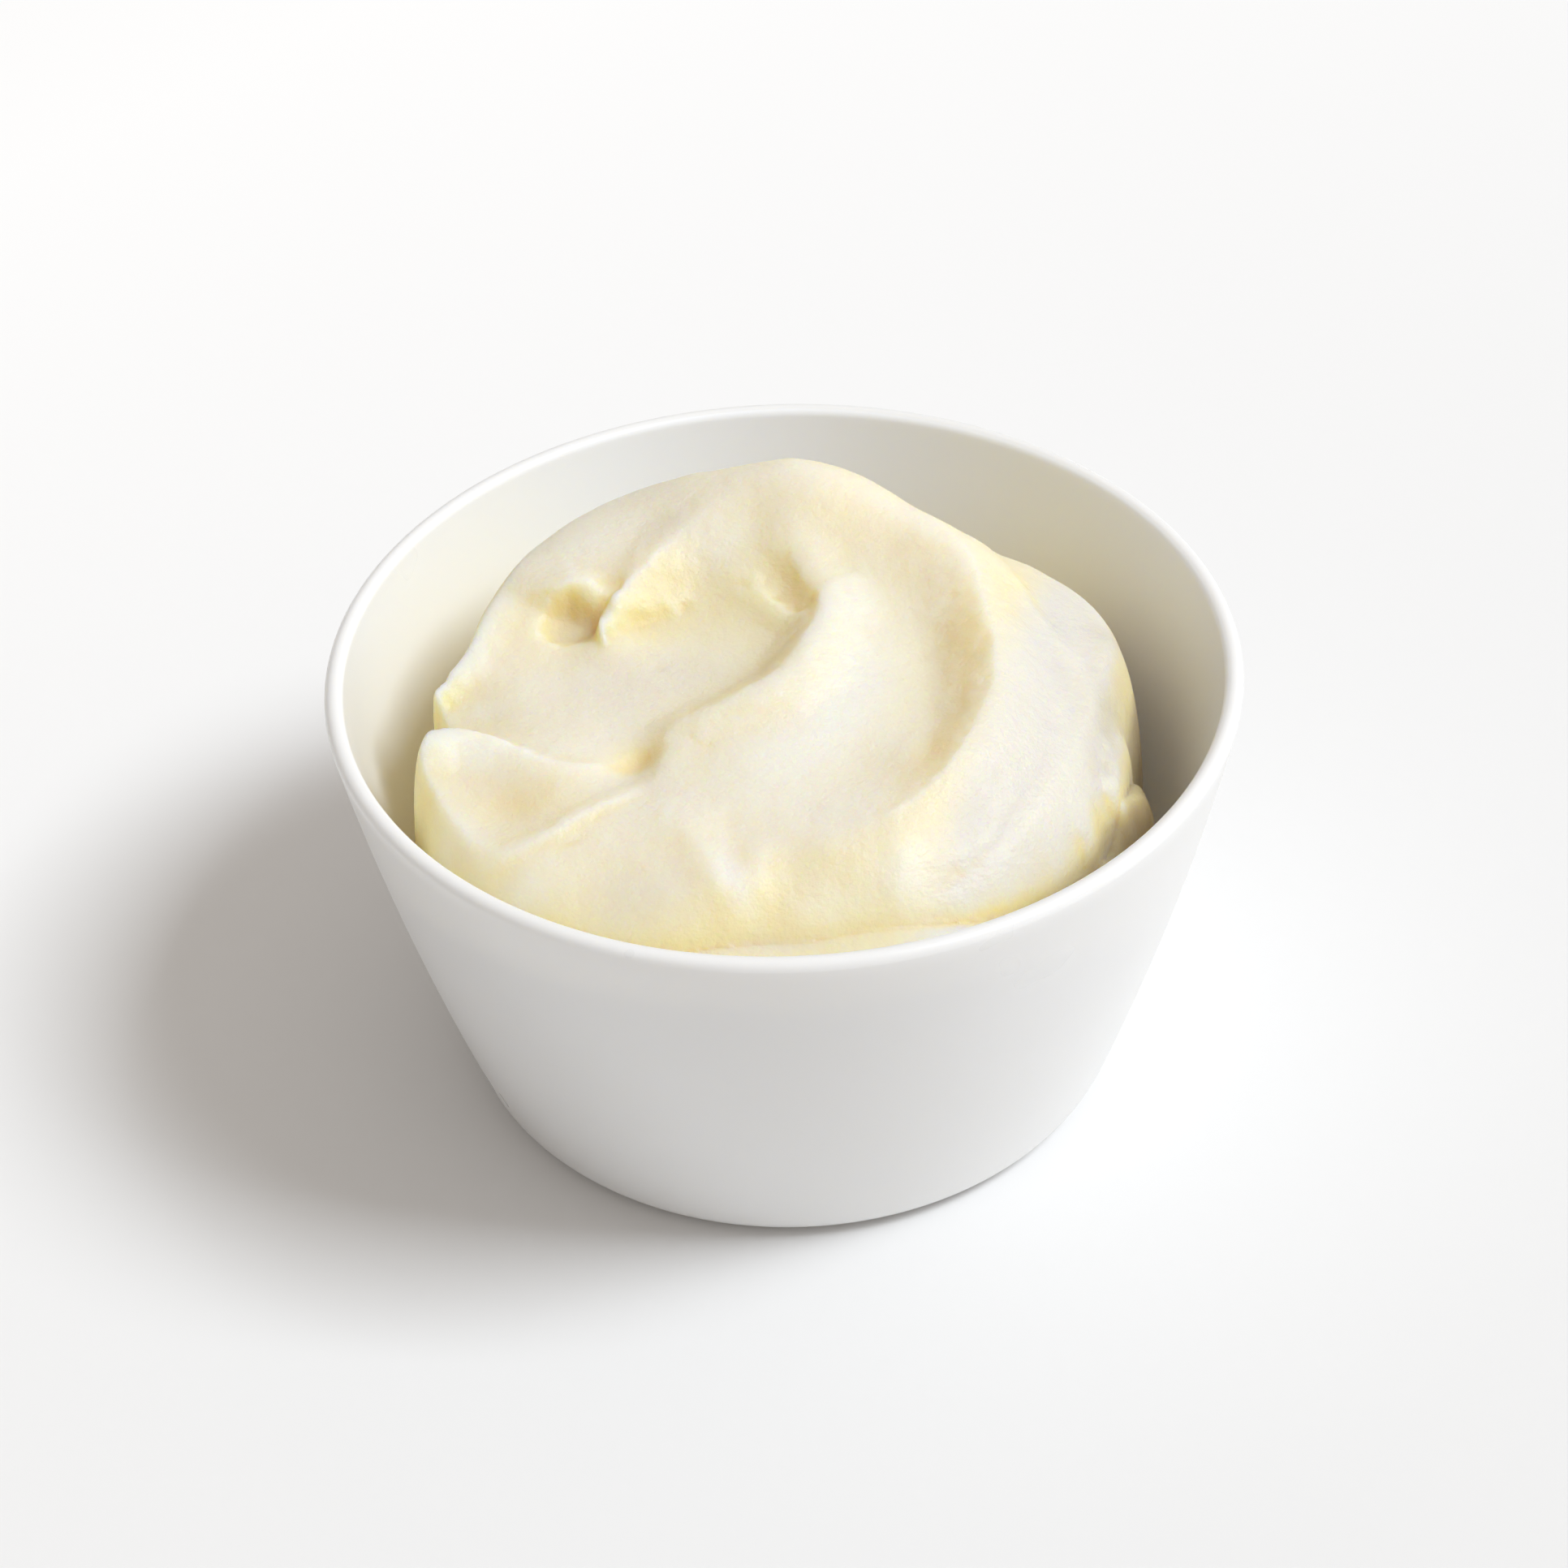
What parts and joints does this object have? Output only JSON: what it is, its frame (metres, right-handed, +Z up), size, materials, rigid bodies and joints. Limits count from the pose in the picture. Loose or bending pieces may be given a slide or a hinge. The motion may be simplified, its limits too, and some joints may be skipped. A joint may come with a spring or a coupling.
{
  "type": "mashed potato side in a bowl",
  "caption": "Plain tapered white bowl filled with creamy mashed potato, swept by a spoon into a swirled mound that stands above the rim.",
  "frame": {"origin": "middle of the bowl's base, on the surface it stands on", "axes": "+Z up out of the bowl, -Y towards the picture's camera, +X to the picture's right"},
  "size_m": [0.115, 0.115, 0.0689],
  "materials": {
    "porcelain": "smooth white glaze",
    "mash": "moist, fine-grained, slightly translucent cream"
  },
  "bodies": {
    "root": {"bowl": "porcelain", "mashed_potato": "mash"}
  },
  "joints": []
}
